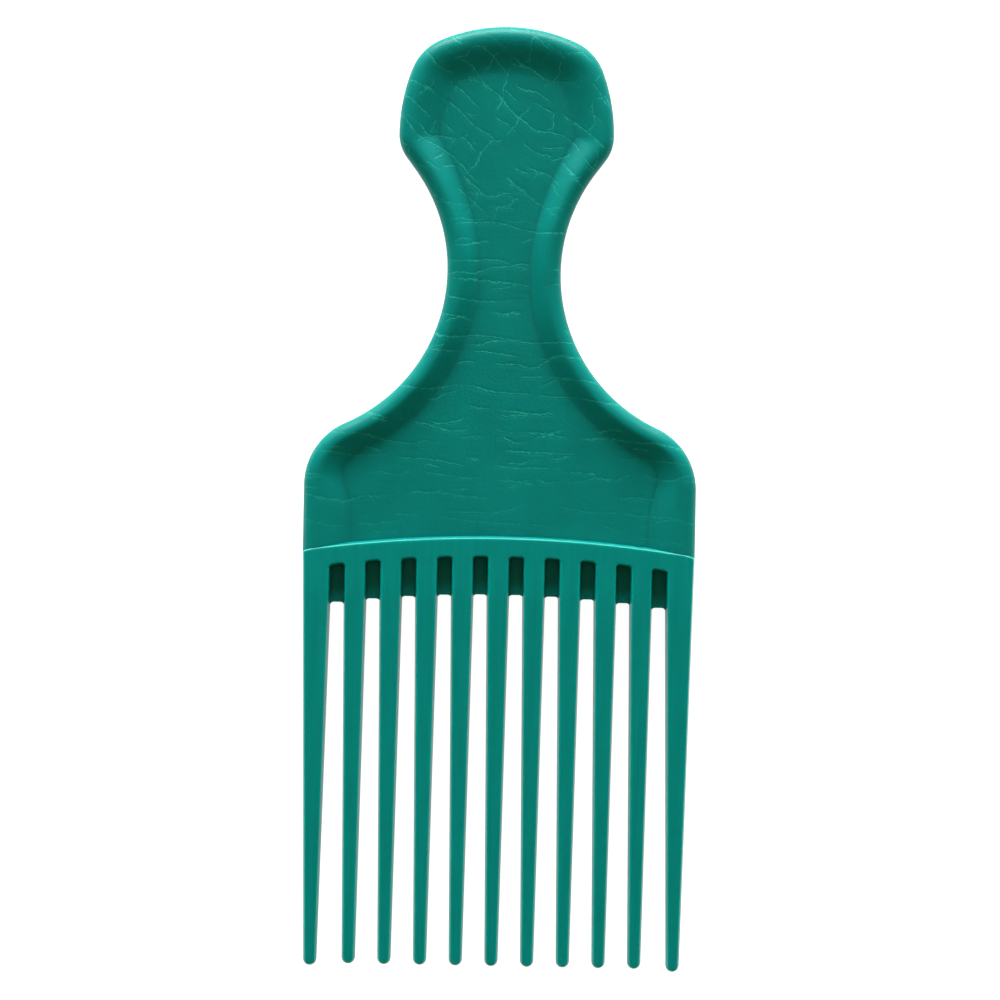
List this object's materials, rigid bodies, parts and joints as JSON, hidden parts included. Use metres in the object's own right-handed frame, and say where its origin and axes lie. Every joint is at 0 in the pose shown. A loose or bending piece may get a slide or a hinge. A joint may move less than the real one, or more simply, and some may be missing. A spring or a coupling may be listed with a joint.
{
  "type": "afro pick",
  "caption": "Plastic afro pick with a waisted, rimmed, leather-grained handle, an arched cross bar and a row of long tapering round-tipped teeth.",
  "frame": {"origin": "middle of the cross bar on its back face, the face on which the pick lies", "axes": "+X along the cross bar, +Y from the teeth towards the head of the handle, +Z out of the front face"},
  "size_m": [0.0708, 0.17, 0.0058],
  "materials": {
    "grained_plastic": "leather grain, satin",
    "smooth_plastic": "smooth, satin"
  },
  "bodies": {
    "root": {"handle_rim": "grained_plastic", "handle_panel": "grained_plastic", "tooth_bar": "smooth_plastic", "root_web_01": "smooth_plastic", "root_web_02": "smooth_plastic", "root_web_03": "smooth_plastic", "root_web_04": "smooth_plastic", "root_web_05": "smooth_plastic", "root_web_06": "smooth_plastic", "root_web_07": "smooth_plastic", "root_web_08": "smooth_plastic", "root_web_09": "smooth_plastic", "root_web_10": "smooth_plastic", "tooth_01": "smooth_plastic", "tooth_02": "smooth_plastic", "tooth_03": "smooth_plastic", "tooth_04": "smooth_plastic", "tooth_05": "smooth_plastic", "tooth_06": "smooth_plastic", "tooth_07": "smooth_plastic", "tooth_08": "smooth_plastic", "tooth_09": "smooth_plastic", "tooth_10": "smooth_plastic", "tooth_11": "smooth_plastic"}
  },
  "joints": []
}
